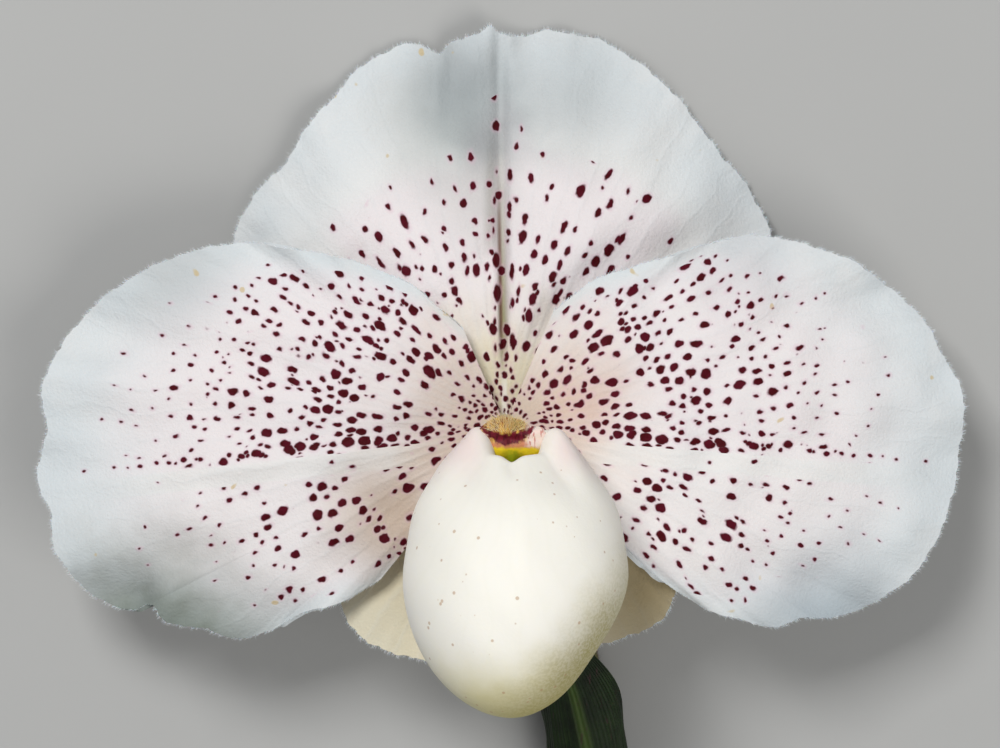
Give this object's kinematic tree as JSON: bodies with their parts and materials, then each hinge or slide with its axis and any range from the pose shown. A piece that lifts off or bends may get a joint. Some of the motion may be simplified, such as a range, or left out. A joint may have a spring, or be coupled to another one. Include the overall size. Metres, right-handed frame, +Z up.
{
  "type": "paphiopedilum orchid",
  "caption": "Cut slipper-orchid bloom lying face up: white maroon-spotted petals and hood, cream egg-shaped pouch, ovary, green bract and short stem.",
  "frame": {"origin": "middle of the part's box, on the table that the bloom lies on", "axes": "+Z up out of the flower's face, +Y from the cut stem end towards the hood, +X to the right of the face"},
  "size_m": [0.0781, 0.1122, 0.0317],
  "materials": {
    "petal": "velvety white, bluish towards the margin, rose-flushed and maroon-spotted towards the middle",
    "lip": "satin waxy cream white, yellow-green at the toe, with sparse tan specks",
    "column": "satin tan cream with fine maroon dots",
    "shield": "satin yellow with a maroon crescent, a green tooth and fine hairs",
    "pollen": "sticky golden yellow",
    "ovary": "matte green flushed purple-brown, ribbed and downy",
    "bract": "satin dark green with parallel veins",
    "scape": "matte purple-green, downy, with a pale fresh-cut end"
  },
  "bodies": {
    "root": {"dorsal_sepal": "petal", "petal_left": "petal", "petal_right": "petal", "synsepal": "petal", "lip_pouch": "lip", "column": "column", "staminode": "shield", "anther_left": "pollen", "anther_right": "pollen", "ovary": "ovary", "bract": "bract", "scape": "scape"}
  },
  "joints": []
}
